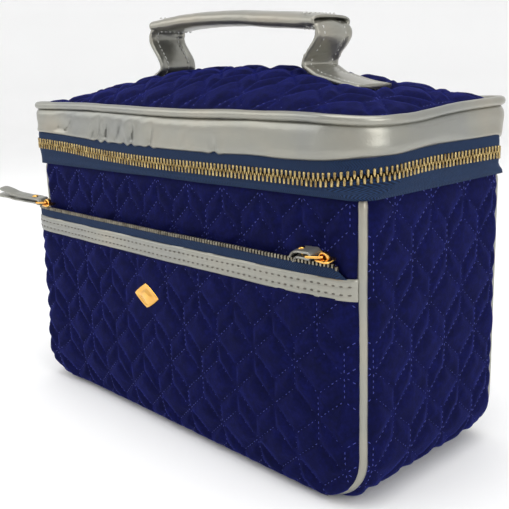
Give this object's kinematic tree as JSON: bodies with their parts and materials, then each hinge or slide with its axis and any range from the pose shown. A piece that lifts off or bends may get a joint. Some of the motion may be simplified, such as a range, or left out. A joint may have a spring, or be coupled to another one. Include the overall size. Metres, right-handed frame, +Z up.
{
  "type": "quilted vanity case",
  "caption": "Box-shaped quilted case with a lid that opens on a zip round three sides, a padded top handle and a zipped front pocket.",
  "frame": {"origin": "centre of the flat base, on the surface that the case stands on", "axes": "+X along the front to its right-hand end, +Y from the front to the back, +Z up"},
  "size_m": [0.3, 0.1289, 0.2279],
  "materials": {
    "velvet": "quilted velvet",
    "lining": "satin weave",
    "board": "stiff sheet",
    "silver_leather": "metallic pearl",
    "zip_tape": "herringbone tape",
    "zip_brass": "antique",
    "gold": "polished gold plate"
  },
  "bodies": {
    "case_body": {"front_panel": "velvet", "back_panel": "velvet", "gusset": "velvet", "front_piping": "silver_leather", "back_piping": "silver_leather", "body_lining": "lining", "base_board": "board", "zip_lower_tape": "zip_tape", "zip_lower_teeth": "zip_brass", "hinge_strip_lower": "zip_tape", "pocket_panel": "velvet", "pocket_trim": "silver_leather", "pocket_zip_tape": "zip_tape", "pocket_zip_teeth": "zip_brass", "pocket_zip_back_tape": "zip_tape", "pocket_zip_back_teeth": "zip_brass", "emblem": "gold"},
    "lid": {"lid_band": "silver_leather", "lid_piping": "silver_leather", "lid_panel": "velvet", "lid_board": "board", "lid_lining": "lining", "zip_upper_tape": "zip_tape", "zip_upper_teeth": "zip_brass", "hinge_strip_upper": "zip_tape", "handle_foot_left": "silver_leather", "handle_foot_right": "silver_leather", "handle_leg_left": "silver_leather", "handle_leg_right": "silver_leather"},
    "handle": {"handle_grip": "silver_leather"},
    "main_front_slider_body": {"main_front_slider": "gold"},
    "main_front_pull_body": {"main_front_link": "gold", "main_front_pull": "silver_leather", "main_front_rivet": "gold"},
    "main_rear_slider_body": {"main_rear_slider": "gold"},
    "main_rear_pull_body": {"main_rear_link": "gold", "main_rear_pull": "silver_leather", "main_rear_rivet": "gold"},
    "pocket_left_slider_body": {"pocket_left_slider": "gold"},
    "pocket_left_pull_body": {"pocket_left_link": "gold", "pocket_left_pull": "silver_leather", "pocket_left_rivet": "gold"},
    "pocket_right_slider_body": {"pocket_right_slider": "gold"},
    "pocket_right_pull_body": {"pocket_right_link": "gold", "pocket_right_pull": "silver_leather", "pocket_right_rivet": "gold"}
  },
  "joints": [
    {"name": "lid_open", "type": "hinge", "parent": "case_body", "child": "lid", "pos_m": [0, 0.0578, 0.1535], "axis": [-1, 0, 0], "range_deg": [0, 105]},
    {"name": "handle_press", "type": "slide", "parent": "lid", "child": "handle", "axis": [0, 0, 1], "range_m": [-0.01, 0.005], "stiffness_N_per_m": 300, "deforming": ["handle_leg_left", "handle_leg_right"]},
    {"name": "main_front_slider_travel", "type": "slide", "parent": "case_body", "child": "main_front_slider_body", "axis": [0, -1, 0], "range_m": [0, 0.021]},
    {"name": "main_front_pull_swing", "type": "hinge", "parent": "main_front_slider_body", "child": "main_front_pull_body", "pos_m": [-0.1382, -0.00656, 0.1535], "axis": [0, 1, 0], "range_deg": [0, 150]},
    {"name": "main_rear_slider_travel", "type": "slide", "parent": "case_body", "child": "main_rear_slider_body", "axis": [0, 1, 0], "range_m": [0, 0.021]},
    {"name": "main_rear_pull_swing", "type": "hinge", "parent": "main_rear_slider_body", "child": "main_rear_pull_body", "pos_m": [-0.1382, 0.00656, 0.1535], "axis": [0, 1, 0], "range_deg": [0, 150]},
    {"name": "pocket_left_slider_travel", "type": "slide", "parent": "case_body", "child": "pocket_left_slider_body", "axis": [1, 0, 0], "range_m": [0, 0.1]},
    {"name": "pocket_left_pull_swing", "type": "hinge", "parent": "pocket_left_slider_body", "child": "pocket_left_pull_body", "pos_m": [-0.117, -0.06271, 0.12016], "axis": [0, 0.9903, 0.1392], "range_deg": [0, 165]},
    {"name": "pocket_right_slider_travel", "type": "slide", "parent": "case_body", "child": "pocket_right_slider_body", "axis": [-1, 0, 0], "range_m": [0, 0.05]},
    {"name": "pocket_right_pull_swing", "type": "hinge", "parent": "pocket_right_slider_body", "child": "pocket_right_pull_body", "pos_m": [0.118, -0.06271, 0.12016], "axis": [0, 0.9903, 0.1392], "range_deg": [0, 165]}
  ]
}
